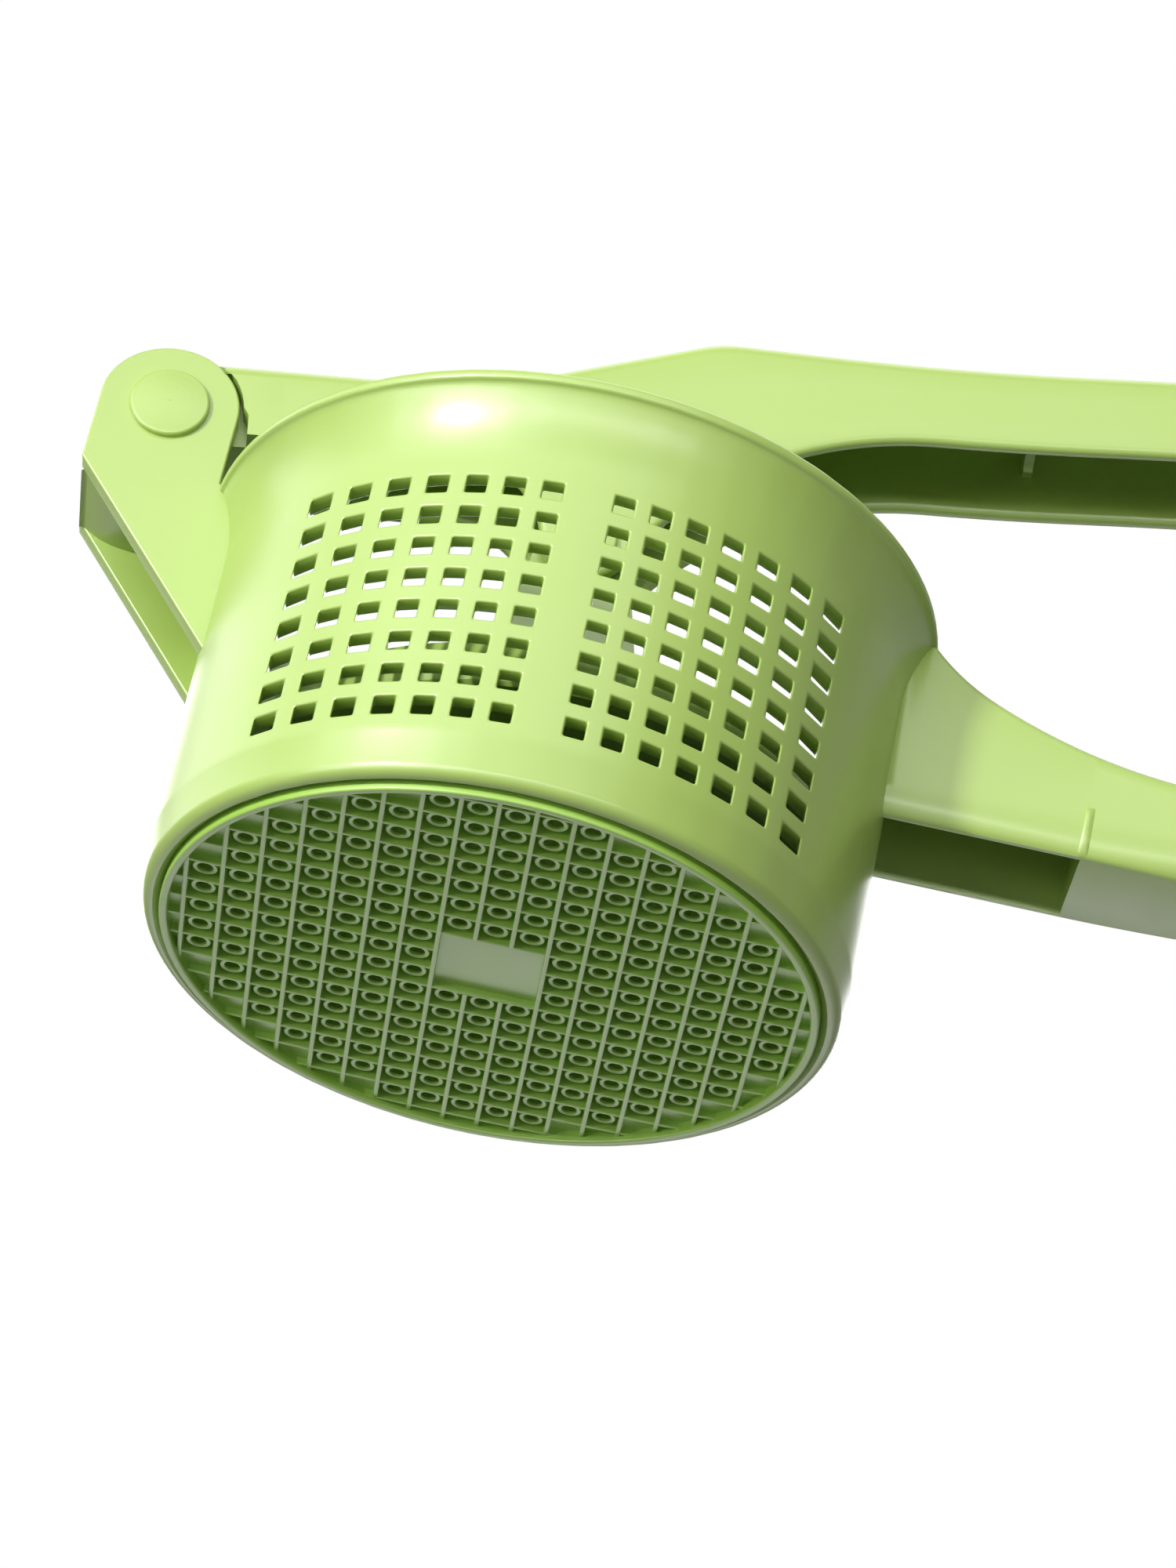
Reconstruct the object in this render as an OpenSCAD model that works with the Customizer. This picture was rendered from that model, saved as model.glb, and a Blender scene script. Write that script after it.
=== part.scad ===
// Potato ricer: a perforated cup with a handle, a hinged lever and a press plate.
// It is drawn with the cup's axis on the z axis, the foot ring on z = 0 and the handles to +x, and
// then moved along x, so that the origin is the middle of the underside of the whole ricer.

/* [Cup] */
// Height of the rim above the table
cup_h = 63.8; // [58:0.2:76]
// Outer radius of the straight wall
cup_r = 49; // [44:0.5:60]
// Thickness of the wall
cup_wall = 2.6; // [1.8:0.1:3.4]
// How far the rim stands out from the wall
rim_out = 3.7; // [2.5:0.1:5]
// Height of the band round the rim
rim_band = 1.9; // [1.2:0.1:3]
// Height of the flare under the band
flare_h = 11; // [7:0.5:13]
// How far the wall draws in at its foot
foot_taper = 0.9; // [0.4:0.1:1.4]
// Height at which the foot taper ends
taper_top = 7.5; // [6:0.5:8.5]
// Radius of the round under the wall
foot_round = 1.7; // [0.8:0.1:1.8]

/* [Side holes] */
// Width of a square hole
slot_w = 2.8; // [1.8:0.1:3.2]
// Height of the lowest row above the table
row_start = 11.1; // [11:0.1:13]
// Rows in a panel
rows = 8; // [3:1:8]
// Height from row to row
row_step = 5.1; // [4.2:0.1:5.2]
// Columns in a panel
columns = 7; // [3:1:7]
// Distance from column to column
column_step = 5.1; // [4.2:0.1:5.2]
// Distance between the inner columns of two panels
panel_gap = 9.7; // [7:0.1:12]

/* [Sieve] */
// Distance from hole to hole
pitch = 5; // [4.5:0.1:6]
// Diameter of a hole
sieve_hole = 2.4; // [1.6:0.1:2.8]
// Outer diameter of the collar round a hole
collar_d = 3.2; // [2.9:0.1:3.8]
// Width of a rib
rib_w = 0.6; // [0.4:0.1:0.9]
// Thickness of the sheet
sheet_t = 1.6; // [1.2:0.1:2.2]
// Width of the foot ring
ring_w = 1.1; // [0.8:0.1:1.6]
// How far the ribs lie above the table
rib_lift = 0.8; // [0.3:0.1:1.2]
// Depth of the ribs under the sheet
rib_depth = 2.4; // [1.6:0.1:3]

/* [Hinge] */
// Distance from the cup's wall to the hinge pin
hinge_out = 12.8; // [11:0.2:20]
// Height of the hinge pin above the rim
hinge_rise = 11; // [10.8:0.2:16]
// Radius of an ear's round top
ear_r = 10; // [8:0.5:11]
// Thickness of an ear
ear_t = 3; // [2:0.2:4]
// Thickness of the web between the ears
web_t = 2.7; // [2:0.1:4]
// Diameter of the hinge pin
pin_d = 6; // [4:0.5:8]
// Diameter of the pin's head
pin_head_d = 11.4; // [9:0.2:14]

/* [Handles] */
// Width of both handles and of the hinge
arm_w = 19.6; // [17:0.2:26]
// Thickness of the handle and lever walls
arm_wall = 2.3; // [1.6:0.1:3.2]
// Reach of both handles from the cup's axis
reach = 202; // [160:1:240]
// Depth of the lower handle's underside under the rim
grip_drop = 30; // [24:0.2:34]
// Depth of the lower handle's grip
grip_h = 14.6; // [12:0.2:20]
// Radius of the grip's lower edges
grip_round = 6.4; // [3:0.1:7]
// Length of the pocket beside the cup, from the cup's wall
pocket_run = 27.5; // [20:0.5:40]

/* [Lever] */
// Depth of the lever's grip
lever_h = 14.3; // [11:0.1:18]
// Height of the crest between ramp and grip over the hinge pin
lever_top = 20.3; // [16:0.1:24]
// Height of the arm's top over the hinge pin
arm_top = 8.6; // [6:0.1:9]
// Depth of the arm behind the ears
arm_h = 12.6; // [10:0.1:13.5]
// Slope of the ramp from arm to grip
ramp = 18.5; // [14:0.5:28]
// Slope of the grip behind the crest, downwards
grip_dip = 2; // [0:0.5:4]
// Radius of the hollow in the grip's top line
saddle_r = 450; // [300:10:700]
// Radius of the palm rest's long curve
palm_r = 900; // [700:10:1500]
// Angle of the lever as drawn, above level
lever_rest = 9; // [0:0.5:30]
// Angle of the lever when the plate is down
lever_shut = -5; // [-6:0.5:-2]

/* [Press plate] */
// Gap between the plate's edge and the wall, for the arc that the plate swings through
plate_gap = 3.9; // [3.4:0.1:8]
// Height of the plate's skirt
skirt_h = 7; // [4:0.5:10]
// Thickness of the plate and its walls
plate_t = 2.2; // [1.6:0.1:3]
// Diameter of the plate's pin
plate_pin_d = 5; // [3:0.5:6]
// How much nearer to the hinge than the cup's axis the plate's pin is, along the lever
pivot_set = 1.8; // [-2:0.1:5]
// Drop of the plate's pin under the hinge pin
pivot_drop = 17; // [13:0.5:18]
// Share of the lever's turn that the plate follows
plate_share = 0.16; // [0:0.01:0.3]

/* [Hidden] */
$fn = 96;

fit_gap = 0.1;        // between pieces of the basket
side_gap = 0.35;      // beside a piece that turns
press_gap = 0.02;     // round a pin that is held
run_gap = 0.06;       // round a pin that turns
plate_rest_gap = 0.6; // under the plate when the lever is shut
eps = 0.01;
lap = 0.02;           // by which the stretches of a bent block run into each other

leaf = [0.72, 0.82, 0.45];
leaf_dark = [0.66, 0.78, 0.38];

// Cup
base_z = rib_lift + 0.1;
wall_top = cup_h - rim_band - flare_h;
draft = 0.3;
band_out = 0.7;       // how far the rim's band stands out from the flare
band_round = 0.4;
rim_round = 0.8;
flare_out = rim_out - draft - band_out;
flare_r = (flare_out * flare_out + flare_h * flare_h) / (2 * flare_out);
flare_c = [cup_r + draft + flare_r, wall_top];
rim_r = cup_r + rim_out;
rim_wall = cup_wall - 0.1; // wall left at the very top of the rim
bore_r = cup_r - cup_wall;
seat_z = rib_lift + rib_depth;
floor_z = seat_z + sheet_t;
seat_w = 0.7;         // ledge that the sieve disc lies on
lead_in = 1;          // bevel below the ledge
mouth_r = bore_r - seat_w;
joint_z = cup_h - 0.4; // ears and handle reach up to here, just under the rim
hole_from = cup_r / 4; // the side holes' cuts start this far from the middle

// Sieve
ring_out = mouth_r - fit_gap;
ring_in = ring_out - ring_w;
ring_round = 0.25;
field = floor(ring_in / pitch);
collar_z = rib_lift + 0.7;
patch_z = rib_lift + 1.05;
hole_limit = ring_in - 0.6 * pitch;

// Hinge
hinge_x = cup_r + hinge_out;
hinge_z = cup_h + hinge_rise;
ear_in = arm_w / 2 - ear_t;
ear_x = hinge_x + ear_r;
ear_foot_z = cup_h - 0.6;
ear_slope = 49.3;
web_z = cup_h - 1.2;
head_h = 1.2;
head_edge = 0.4;      // height of a head's straight edge
head_round = 0.5;     // and the round above it
pin_tail = 1.2;
cap_more = 0.9;       // how much higher a cap is than a head

// Lower handle
grip_z = cup_h - grip_drop;
pocket_end = cup_r + pocket_run;
grip_far_r = 75;      // long curve of the handle's top line
grip_near_r = 30;     // tight curve below the rim
grip_turn = 25;       // angle where one curve passes into the other
grip_steep = 62;      // angle of the line where it leaves the rim
grip_flat = 16.5;     // the top line is level this far past the pocket
crease_turn = 3.5;    // the lower edges' round sinks by this angle beside the pocket
crease_sink = 0.05;
grip_rib_step = 30;
grip_rib_low = 4;     // how far the ribs in the channel stay under its edge

// Lever, in its own frame: the hinge pin is the origin and the grip runs along +x
arm_low = arm_top - arm_h;
pivot_x = hinge_x - pivot_set;
pivot_z = -pivot_drop;
tongue_w = 2 * (ear_in - side_gap);
shoulder_r = ear_r + 0.6;
shoulder_x = ear_r + 1.3;
lever_end = (reach + hinge_x) / cos(lever_shut);
ramp_lead = 16;
ramp_start = pivot_x - ramp_lead;
bend_r = 16;
edge_r = 2.4;         // round of the long upper edges
tip_r = 7;            // round of the tip, above
tip_low_r = 3;        // and below
ramp_rise = lever_top - arm_top;
ramp_end = ramp_start + ramp_rise / tan(ramp);
lug_r = 6.5;
sweep_r = 54;
grip_lift = 3;        // slope of the grip where the saddle passes into the palm rest, upwards
dip_run = 16;         // straight stretch from the crest to the saddle
dip_dir = [cos(grip_dip), -sin(grip_dip)];
dip_up = [sin(grip_dip), cos(grip_dip)];
saddle_c = [ramp_end, lever_top] + dip_run * dip_dir + saddle_r * dip_up;
palm_c = saddle_c + (saddle_r + palm_r) * [sin(grip_lift), -cos(grip_lift)];
palm_end = asin((palm_c[0] - lever_end) / palm_r);
palm_tip = asin((palm_c[0] - lever_end + tip_r) / palm_r);
// The sweep's arc from the lug to the grip touches the lug and the underside of the saddle
lug_c = [pivot_x, pivot_z];
lug_reach = lug_r + sweep_r;
saddle_way = saddle_c - lug_c;
saddle_far = norm(saddle_way);
sweep_part = (pow(lug_reach, 2) - pow(saddle_r + lever_h + sweep_r, 2) + pow(saddle_far, 2))
    / (2 * saddle_far);
sweep_c = lug_c + (sweep_part * saddle_way + sqrt(pow(lug_reach, 2) - pow(sweep_part, 2))
                   * [saddle_way[1], -saddle_way[0]]) / saddle_far;
sweep_end = atan2(saddle_c[1] - sweep_c[1], saddle_c[0] - sweep_c[0]);
hollow_x = shoulder_x + arm_wall;
tongue_in = 0.3;      // how far the tongue ends before the hollow
skin = 2.4;
deep = 45;
rib_t = 1.6;
rib_first = pivot_x + 66;
rib_step = 34;
rib_arch = 6.2;       // radius of the arch that the ribs leave open between the walls

// Press plate, in its own frame: its pin is the origin and the plate lies below
shut_pivot_z = hinge_z + pivot_x * sin(lever_shut) + pivot_z * cos(lever_shut);
stem = shut_pivot_z - floor_z - plate_rest_gap;
stem_gap = 0.5;       // between the stem and the lever's walls
stem_w = arm_w - 2 * (arm_wall + stem_gap);
stem_foot = 15;       // half the stem's width where it meets the plate
stem_cap = 3;         // from the plate's pin to the top of the stem's middle wall
plate_r = bore_r - plate_gap;
plate_head_d = 9;
plate_ribs = 8;
rib_below = 1.5;      // how far the plate's ribs stay under its skirt's edge
land_h = 3;           // straight part of the skirt
land_edge = 0.5;      // bevel of the pressing face
skirt_draft = 0.8;
plate_tilt = plate_share * (lever_rest - lever_shut);

// Points of an arc round c, from angle a to angle b
function arc(c, r, a, b, n = 12) =
    [for (i = [0:n]) c + r * [cos(a + (b - a) * i / n), sin(a + (b - a) * i / n)]];

// Stands a side view, drawn in x and z, upright and w wide across y
module side(w) rotate([90, 0, 0]) linear_extrude(w, center = true) children();

// Carries a cross-section, drawn in y and z, along x from x0 to x1
module along(x0, x1) translate([x0, 0, 0]) rotate([90, 0, 90]) linear_extrude(x1 - x0) children();

// ---- basket ----

module cup_outline() {
    foot_r = cup_r - foot_taper;
    polygon(concat(
        [[0, base_z]],
        arc([foot_r - foot_round, base_z + foot_round], foot_round, -90, 0, 6),
        [[cup_r, taper_top]],
        arc(flare_c, flare_r, 180, 180 - asin(flare_h / flare_r), 10),
        arc([rim_r - band_round, cup_h - rim_band + band_round], band_round, -90, 0, 3),
        arc([rim_r - rim_round, cup_h - rim_round], rim_round, 0, 90, 5),
        [[0, cup_h]]));
}

module bore_outline() {
    inner_flare = flare_r + cup_wall;
    polygon(concat(
        [[0, base_z - 1], [mouth_r + lead_in, base_z - 1], [mouth_r + lead_in, base_z],
         [mouth_r, base_z + lead_in], [mouth_r, seat_z], [bore_r, seat_z]],
        arc(flare_c, inner_flare, 180, 180 - asin((cup_h - wall_top) / inner_flare), 10),
        [[rim_r - rim_wall, cup_h + 1], [0, cup_h + 1]]));
}

module ears() {
    ear_top = [-hinge_x, hinge_z];
    slope_run = ear_x - bore_r;
    side(arm_w) difference() {
        union() {
            translate(ear_top) circle(ear_r);
            polygon([[-ear_x, hinge_z], [-ear_x, ear_foot_z],
                     [-bore_r, ear_foot_z - slope_run * tan(ear_slope)], [-bore_r, joint_z],
                     [-hinge_x + ear_r, joint_z], [-hinge_x + ear_r, hinge_z]]);
        }
        translate(ear_top) circle(pin_d / 2 + press_gap);
    }
}

// The space between the ears, above and below the web
module ear_spaces() {
    for (z = [[0, web_z - web_t], [web_z, 2 * hinge_z]])
        translate([-ear_x - 1, -ear_in, z[0]]) cube([ear_x + 1 - bore_r, 2 * ear_in, z[1] - z[0]]);
}

// Top line of the lower handle: a tight curve off the rim, then a long one into the grip
function grip_line(lift) =
    let (far_c = [pocket_end + grip_flat, grip_z + grip_h + grip_far_r],
         near_c = far_c - (grip_far_r - grip_near_r) * [sin(grip_turn), cos(grip_turn)])
    concat(arc(near_c + [0, lift], grip_near_r, 270 - grip_steep, 270 - grip_turn, 10),
           arc(far_c + [0, lift], grip_far_r, 270 - grip_turn, 270, 10));

module grip_side(lift, low) {
    polygon(concat([[bore_r, low], [bore_r, joint_z + lift]],
                   [for (p = grip_line(lift)) if (p[1] < joint_z) p],
                   [[reach, grip_z + grip_h + lift], [reach, low]]));
}

// Cross-section of the grip from its underside up, drawn in by g
function grip_points(g) =
    let (half = arm_w / 2 - g, r = max(grip_round - g, 0.8))
    concat(arc([half - r, g + r], r, -90, 0, 6), [[half, cup_h], [-half, cup_h]],
           arc([r - half, g + r], r, 180, 270, 6));

// The grip's block, whose rounded lower edges sink past the underside towards the cup
module grip_block(g) {
    low = grip_z - crease_sink;
    run_in = cup_h * sin(crease_turn); // the sloping stretch reaches this far into the level one
    translate([0, 0, low]) along(pocket_end, reach) polygon(grip_points(g));
    translate([pocket_end, 0, low]) rotate([0, -crease_turn, 0])
        along(bore_r - pocket_end - 1, run_in) polygon(grip_points(g));
}

module grip() {
    intersection() {
        side(arm_w) grip_side(0, grip_z);
        grip_block(0);
        grip_plan(0, bore_r);
    }
}

// Plan of a handle with a round end, drawn in by g
module grip_plan(g, x0) {
    half = arm_w / 2 - g;
    linear_extrude(2 * cup_h) union() {
        translate([x0, -half]) square([reach - arm_w / 2 - x0, 2 * half]);
        translate([reach - arm_w / 2, 0]) circle(half);
    }
}

// The pocket, open below, and the channel, open above, on either side of the end wall
module grip_hollows() {
    intersection() {
        side(arm_w - 2 * arm_wall) grip_side(-skin, grip_z - 1);
        translate([bore_r, -arm_w, grip_z - 1]) cube([pocket_end - bore_r, 2 * arm_w, cup_h]);
    }
    difference() {
        intersection() {
            grip_block(arm_wall);
            grip_plan(arm_wall, pocket_end + arm_wall);
            translate([0, -arm_w, grip_z + arm_wall]) cube([reach, 2 * arm_w, cup_h]);
        }
        for (x = [pocket_end + grip_rib_step : grip_rib_step : reach - arm_w])
            translate([x, -arm_w, grip_z]) cube([rib_t, 2 * arm_w, grip_h - grip_rib_low]);
    }
}

// The holes of each side lie in a flat grid and are cut straight across the cup, as side cores
// leave them
module side_holes() {
    for (turn = [0, 180], hand = [-1, 1], c = [0 : columns - 1], r = [0 : rows - 1])
        rotate([0, 0, turn])
            translate([hand * (panel_gap / 2 + c * column_step) - slot_w / 2, hole_from,
                       row_start + r * row_step - slot_w / 2])
                cube([slot_w, cup_r + 1 - hole_from, slot_w]);
}

module basket() {
    color(leaf) difference() {
        union() {
            rotate_extrude() cup_outline();
            difference() {
                ears();
                ear_spaces();
            }
            difference() {
                grip();
                grip_hollows();
            }
        }
        rotate_extrude() bore_outline();
        side_holes();
    }
}

// ---- sieve disc ----

function in_plate(a, b) = abs(a) <= 1 && abs(b) <= 1;
function is_hole(a, b) = !in_plate(a, b) && pitch * norm([a, b]) <= hole_limit;
cells = [for (a = [-field : field], b = [-field : field]) [a, b]];
hole_cells = [for (c = cells) if (is_hole(c[0], c[1])) c];
patch_cells = [for (c = cells) if (!is_hole(c[0], c[1]) && norm(c) * pitch < ring_in + pitch) c];

module sieve_ribs() {
    for (i = [-field - 1 : field], turn = [0, 90])
        rotate([0, 0, turn]) translate([(i + 0.5) * pitch - rib_w / 2, -ring_in, rib_lift])
            cube([rib_w, 2 * ring_in, rib_depth + eps]);
}

module sieve_patches() {
    for (c = patch_cells)
        translate([(c[0] - 0.5) * pitch, (c[1] - 0.5) * pitch, patch_z])
            cube([pitch, pitch, seat_z - patch_z + eps]);
}

module sieve_disc() {
    color(leaf_dark) difference() {
        union() {
            translate([0, 0, seat_z]) cylinder(h = sheet_t, r = bore_r - fit_gap);
            intersection() {
                union() {
                    difference() {
                        union() {
                            sieve_ribs();
                            sieve_patches();
                        }
                        plate_window();
                    }
                    for (c = hole_cells)
                        translate([c[0] * pitch, c[1] * pitch, collar_z])
                            cylinder(h = seat_z - collar_z + eps, d = collar_d, $fn = 32);
                }
                cylinder(h = floor_z, r = ring_in + eps);
            }
            foot_ring();
        }
        for (c = hole_cells)
            translate([c[0] * pitch, c[1] * pitch, 0]) cylinder(h = floor_z + 1, d = sieve_hole, $fn = 32);
    }
}

// Keeps the ribs out of the plain plate in the middle
module plate_window() {
    half = 1.5 * pitch - rib_w / 2;
    translate([-half, -half, 0]) cube([2 * half, 2 * half, patch_z]);
}

module foot_ring() {
    rotate_extrude() polygon(concat(
        arc([ring_in + ring_round, ring_round], ring_round, 180, 270, 3),
        arc([ring_out - ring_round, ring_round], ring_round, 270, 360, 3),
        [[ring_out, seat_z + eps], [ring_in, seat_z + eps]]));
}

// ---- lever ----

// The lever's block in section, in y and z from its top face down, drawn in by g
function block_points(g, depth) =
    let (half = arm_w / 2 - g, r = max(edge_r - g, 0.4))
    concat([[-half, -depth], [half, -depth]], arc([half - r, -r], r, 0, 90, 4),
           arc([r - half, -r], r, 90, 180, 4));

module block_section(g) polygon(block_points(g, deep));

// The same section in a bend of radius r: way is 1 where the centre lies below the top line
module bend_section(g, drop, r, way) {
    depth = way > 0 ? min(r - drop, deep) : deep;
    polygon([for (p = block_points(g, depth)) [r - way * (drop - p[1]), p[0]]]);
}

// The block follows the top line: arm, bend, ramp, bend, grip
module lever_block(g) {
    drop = g > 0 ? skin : 0;
    cut = bend_r * tan(ramp / 2);
    crest_cut = bend_r * tan((ramp + grip_dip) / 2);
    foot = [ramp_start, arm_top];
    crest = [ramp_end, lever_top];
    foot_in = foot - [cut, 0];
    crest_out = crest + crest_cut * dip_dir;
    ramp_dir = [cos(ramp), sin(ramp)];
    ramp_len = norm(crest - foot) - cut - crest_cut;
    ramp_from = foot + cut * ramp_dir;
    translate([0, 0, arm_top - drop]) along(0, foot_in[0] + lap) block_section(g);
    translate([ramp_from[0], 0, ramp_from[1]]) rotate([0, -ramp, 0]) translate([0, 0, -drop])
        along(-lap, ramp_len + lap) block_section(g);
    translate([crest_out[0], 0, crest_out[1]]) rotate([0, grip_dip, 0]) translate([0, 0, -drop])
        along(-lap, dip_run - crest_cut + lap) block_section(g);
    bend_over(crest_out - bend_r * dip_up, -grip_dip, ramp) bend_section(g, drop, bend_r, 1);
    bend_under(foot_in + [0, bend_r], 0, ramp) bend_section(g, drop, bend_r, -1);
    bend_under(saddle_c, -grip_dip, grip_lift + asin(lap / saddle_r)) bend_section(g, drop, saddle_r, -1);
    bend_over(palm_c, palm_end, grip_lift) bend_section(g, drop, palm_r, 1);
}

// Carries a bend's section round c, from where the top line has slope a to where it has slope b:
// over a crest, whose centre lies below the line, and through a hollow, whose centre lies above
module bend_over(c, a, b) translate([c[0], 0, c[1]]) rotate([90, 0, 0]) rotate([0, 0, 90 + a])
    rotate_extrude(angle = b - a) children();
module bend_under(c, a, b) translate([c[0], 0, c[1]]) rotate([90, 0, 0]) rotate([0, 0, a - 90])
    rotate_extrude(angle = b - a) children();

// Side of the lever: arm, lug round the plate's pin, long sweep up to the grip, round end
module lever_side() {
    lug_turn = atan2(pivot_z - sweep_c[1], sweep_c[0] - pivot_x);
    arm_curve = arm_low - pivot_z;
    tip = palm_c + palm_r * [-sin(palm_tip), cos(palm_tip)];
    low_end = palm_c + (palm_r - lever_h) * [-sin(palm_tip), cos(palm_tip)];
    polygon(concat(
        [[0, arm_low]],
        arc([pivot_x - lug_r - arm_curve, pivot_z], arm_curve, 90, 0, 8),
        arc(lug_c, lug_r, 180, 360 - lug_turn, 12),
        arc(sweep_c, sweep_r, 180 - lug_turn, sweep_end, 14),
        arc(saddle_c, saddle_r + lever_h, 180 + sweep_end, 270 + grip_lift, 5),
        arc(palm_c, palm_r - lever_h, 90 + grip_lift, 90 + palm_tip, 8),
        arc([lever_end - tip_low_r, low_end[1] + tip_low_r], tip_low_r, -90, 0, 4),
        arc([lever_end - tip_r, tip[1] - tip_r], tip_r, 0, 90, 8),
        [[tip[0] - tip_r, lever_top + deep], [0, lever_top + deep]]));
}

module lever_plan(g) {
    half = arm_w / 2 - g;
    translate([0, 0, -deep]) linear_extrude(2 * deep) union() {
        translate([0, -half]) square([lever_end - arm_w / 2, 2 * half]);
        translate([lever_end - arm_w / 2, 0]) circle(half);
    }
}

module lever_hollow() {
    difference() {
        intersection() {
            lever_block(arm_wall);
            lever_plan(arm_wall);
        }
        translate([-deep, -arm_w, -deep]) cube([deep + hollow_x, 2 * arm_w, 2 * deep]);
        for (x = [rib_first : rib_step : lever_end - arm_w]) lever_rib(x);
    }
}

// Height of the lever's lower edge under its grip
function lever_under(x) =
    let (low_r = saddle_r + lever_h, palm_low_r = palm_r - lever_h)
    x < saddle_c[0] + low_r * sin(grip_lift)
        ? saddle_c[1] - sqrt(low_r * low_r - pow(x - saddle_c[0], 2))
        : palm_c[1] + sqrt(palm_low_r * palm_low_r - pow(x - palm_c[0], 2));

// A rib across the lever, arched so that it stays clear of the fingers
module lever_rib(x) difference() {
    translate([x, -arm_w, 0]) cube([rib_t, 2 * arm_w, lever_top + deep]);
    translate([x - 1, 0, lever_under(x)]) rotate([0, 90, 0]) cylinder(h = rib_t + 2, r = rib_arch);
}

// Room for the ears beside the tongue
module ear_room() {
    for (hand = [-1, 1])
        translate([0, hand * (tongue_w / 2 + arm_w / 2), 0]) side(arm_w) union() {
            circle(shoulder_r);
            translate([-deep, -deep]) square([deep + shoulder_x, deep]);
            translate([-deep, 0]) square([deep, deep]);
        }
}

module lever_tongue() {
    boss_r = ear_r - 1;
    side(tongue_w) union() {
        circle(boss_r);
        translate([0, arm_low]) square([hollow_x - tongue_in, arm_h]);
    }
}

module at_lever() translate([-hinge_x, 0, hinge_z]) rotate([0, -lever_rest, 0]) children();

module lever() {
    color(leaf) at_lever() difference() {
        union() {
            difference() {
                intersection() {
                    lever_block(0);
                    side(arm_w) lever_side();
                    lever_plan(0);
                }
                lever_hollow();
                ear_room();
            }
            lever_tongue();
        }
        side(2 * arm_w) circle(pin_d / 2 + run_gap);
        translate([pivot_x, 0, pivot_z]) side(2 * arm_w) circle(plate_pin_d / 2 + press_gap);
    }
}

// ---- press plate ----

module at_plate() at_lever() translate([pivot_x, 0, pivot_z])
    rotate([0, lever_rest - plate_tilt, 0]) children();

// One of the stem's two side walls: round about the pin and spread towards the plate
module stem_wall() {
    foot = [stem_foot, plate_t - stem];
    touch = atan2(foot[1], foot[0]) + acos(lug_r / norm(foot));
    tangent = lug_r * [cos(touch), sin(touch)];
    side(plate_t) union() {
        circle(lug_r);
        polygon([tangent, foot, foot - [0, eps], [-foot[0], foot[1] - eps], [-foot[0], foot[1]],
                 [-tangent[0], tangent[1]]]);
    }
}

module plate_disc() {
    inner = plate_r - skirt_draft - plate_t;
    rotate_extrude() polygon([
        [0, 0], [plate_r - land_edge, 0], [plate_r, land_edge], [plate_r, land_h],
        [plate_r - skirt_draft, skirt_h], [inner, skirt_h], [inner, plate_t], [0, plate_t]]);
    for (i = [0 : plate_ribs - 1]) rotate([0, 0, (i + 0.5) * 360 / plate_ribs])
        translate([0, -rib_t / 2, plate_t - eps])
            cube([inner + eps, rib_t, skirt_h - plate_t - rib_below]);
}

module press_plate() {
    color(leaf_dark) at_plate() difference() {
        union() {
            translate([0, 0, -stem]) plate_disc();
            for (hand = [-1, 1]) translate([0, hand * (stem_w - plate_t) / 2, 0]) stem_wall();
            // the wall between them
            translate([-plate_t / 2, -stem_w / 2 + eps, -stem + plate_t - eps])
                cube([plate_t, stem_w - 2 * eps, stem - plate_t - plate_pin_d / 2 - stem_cap]);
        }
        side(2 * arm_w) circle(plate_pin_d / 2 + run_gap);
    }
}

// ---- pins ----

// A flat head of diameter d and height h with a round edge, standing on z = 0
module pin_head(d, h) {
    r = d / 2 - head_round;
    low = h - head_edge - head_round; // rise of the face from its edge to its middle
    face = (r * r + low * low) / (2 * low);
    rotate_extrude() polygon(concat(
        [[0, 0], [d / 2, 0]],
        arc([r, head_edge], head_round, 0, 90 - asin(r / face), 4),
        arc([0, h - face], face, 90 - asin(r / face), 90, 5)));
}

// A pin along y with its head on the near side, through two walls w apart outside
module headed_pin(d, head_d, w) rotate([90, 0, 0]) union() {
    translate([0, 0, -w / 2 - pin_tail]) cylinder(h = w + pin_tail + eps, d = d);
    translate([0, 0, w / 2]) pin_head(head_d, head_h);
}

// The cap that holds the pin's tail on the far side
module pin_cap(d, head_d, w) translate([0, w / 2, 0]) rotate([-90, 0, 0]) difference() {
    pin_head(head_d, head_h + cap_more);
    translate([0, 0, -1]) cylinder(h = pin_tail + 1, d = d);
}

module hinge_pin() color(leaf) translate([-hinge_x, 0, hinge_z]) headed_pin(pin_d, pin_head_d, arm_w);
module hinge_cap() color(leaf) translate([-hinge_x, 0, hinge_z]) pin_cap(pin_d, pin_head_d, arm_w);
module plate_pin() color(leaf) at_lever() translate([pivot_x, 0, pivot_z])
    headed_pin(plate_pin_d, plate_head_d, arm_w);
module plate_cap() color(leaf) at_lever() translate([pivot_x, 0, pivot_z])
    pin_cap(plate_pin_d, plate_head_d, arm_w);

// Puts the origin under the middle of the whole ricer
module placed() translate([(ear_x - reach) / 2, 0, 0]) children();

placed() basket();
placed() sieve_disc();
placed() lever();
placed() press_plate();
placed() hinge_pin();
placed() hinge_cap();
placed() plate_pin();
placed() plate_cap();
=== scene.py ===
import math

import bmesh
import bpy
from mathutils import Matrix, Vector


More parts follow.
